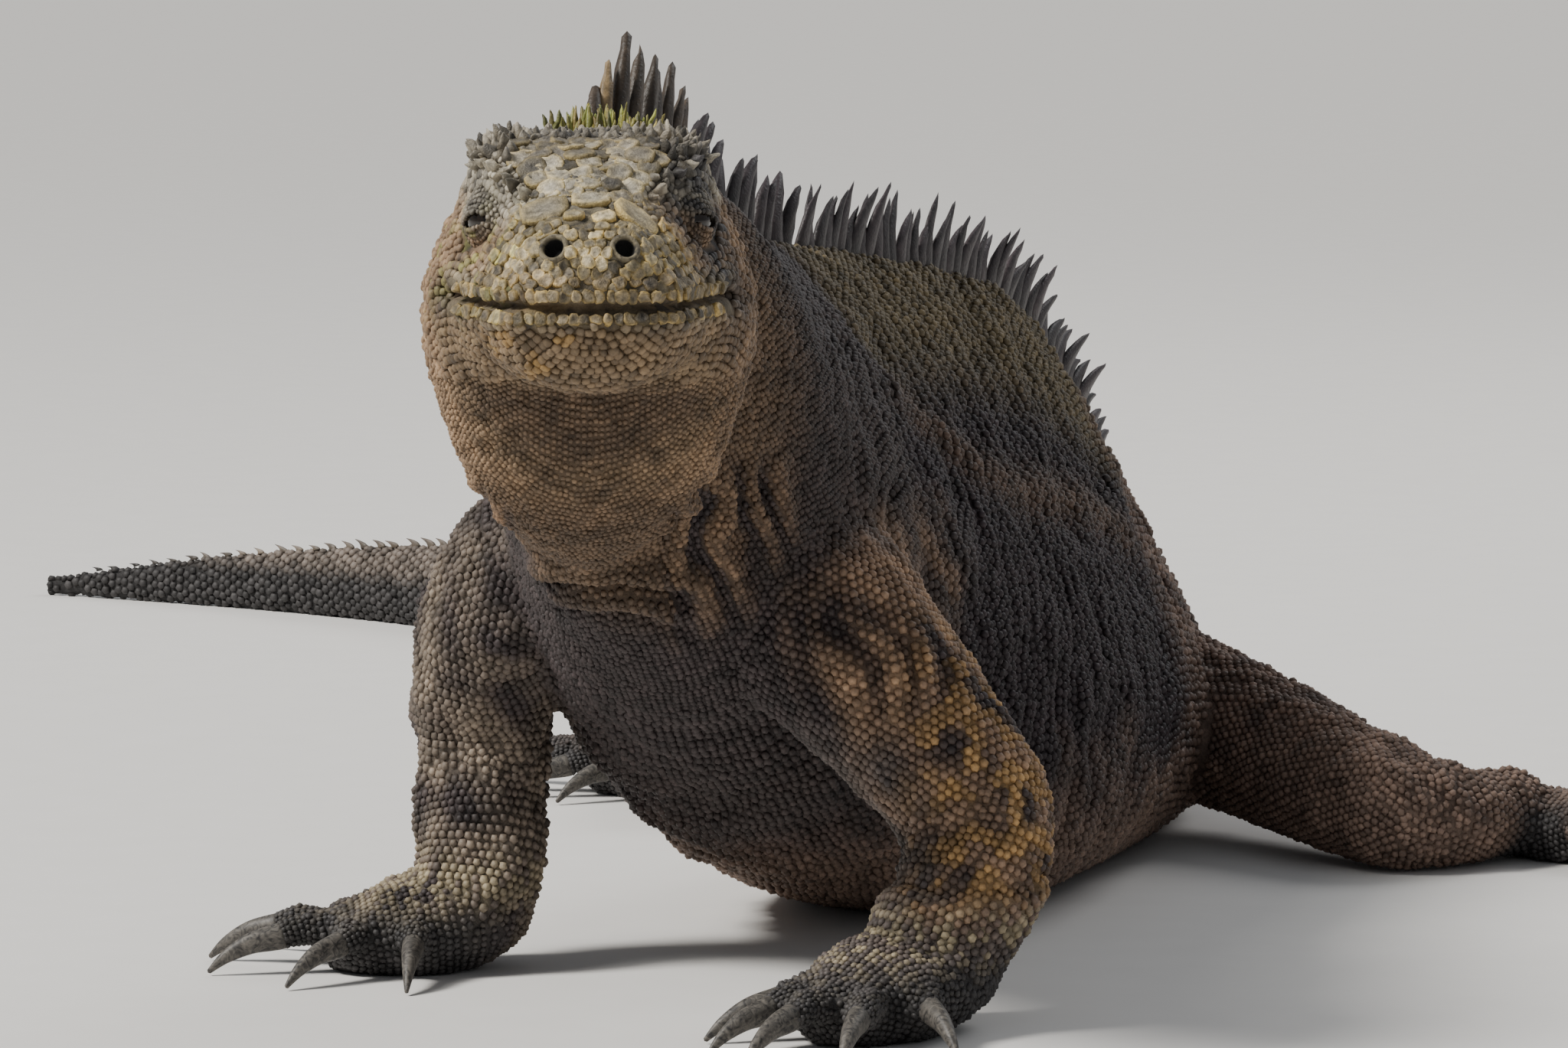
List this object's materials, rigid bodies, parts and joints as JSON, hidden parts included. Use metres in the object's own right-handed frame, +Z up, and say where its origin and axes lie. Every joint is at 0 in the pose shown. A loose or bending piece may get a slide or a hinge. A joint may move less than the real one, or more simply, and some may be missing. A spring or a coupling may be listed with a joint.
{
  "type": "marine iguana",
  "caption": "Life-size marine iguana, a large male with a raised chest and spined crest, resting on its belly, feet and tail.",
  "frame": {"origin": "on the ground under the middle of the animal's outline, seen from above", "axes": "+Z up, -Y the way the body faces, +X the animal's left"},
  "size_m": [0.6962, 0.8176, 0.2097],
  "materials": {
    "head_skin": "matte",
    "body_skin": "matte",
    "tail_skin": "matte",
    "leg_skin": "matte",
    "claw_horn": "satin",
    "eye_wet": "gloss"
  },
  "bodies": {
    "root": {"claw_fore_left_1": "claw_horn", "claw_fore_left_2": "claw_horn", "claw_fore_left_3": "claw_horn", "claw_fore_left_4": "claw_horn", "claw_fore_left_5": "claw_horn", "claw_fore_right_1": "claw_horn", "claw_fore_right_2": "claw_horn", "claw_fore_right_3": "claw_horn", "claw_fore_right_4": "claw_horn", "claw_fore_right_5": "claw_horn", "claw_hind_left_1": "claw_horn", "claw_hind_left_2": "claw_horn", "claw_hind_left_3": "claw_horn", "claw_hind_left_4": "claw_horn", "claw_hind_left_5": "claw_horn", "claw_hind_right_1": "claw_horn", "claw_hind_right_2": "claw_horn", "claw_hind_right_3": "claw_horn", "claw_hind_right_4": "claw_horn", "claw_hind_right_5": "claw_horn", "eye_left": "eye_wet", "eye_right": "eye_wet", "forefoot_left": "leg_skin", "forefoot_right": "leg_skin", "foreleg_lower_left": "leg_skin", "foreleg_lower_right": "leg_skin", "foreleg_upper_left": "leg_skin", "foreleg_upper_right": "leg_skin", "head": "head_skin", "hindfoot_left": "leg_skin", "hindfoot_right": "leg_skin", "hindleg_lower_left": "leg_skin", "hindleg_lower_right": "leg_skin", "hindleg_upper_left": "leg_skin", "hindleg_upper_right": "leg_skin", "lower_jaw": "head_skin", "neck": "body_skin", "tail_1": "tail_skin", "tail_2": "tail_skin", "tail_3": "tail_skin", "tail_4": "tail_skin", "tail_5": "tail_skin", "torso_front": "body_skin", "torso_middle": "body_skin", "torso_rear": "body_skin"}
  },
  "joints": []
}
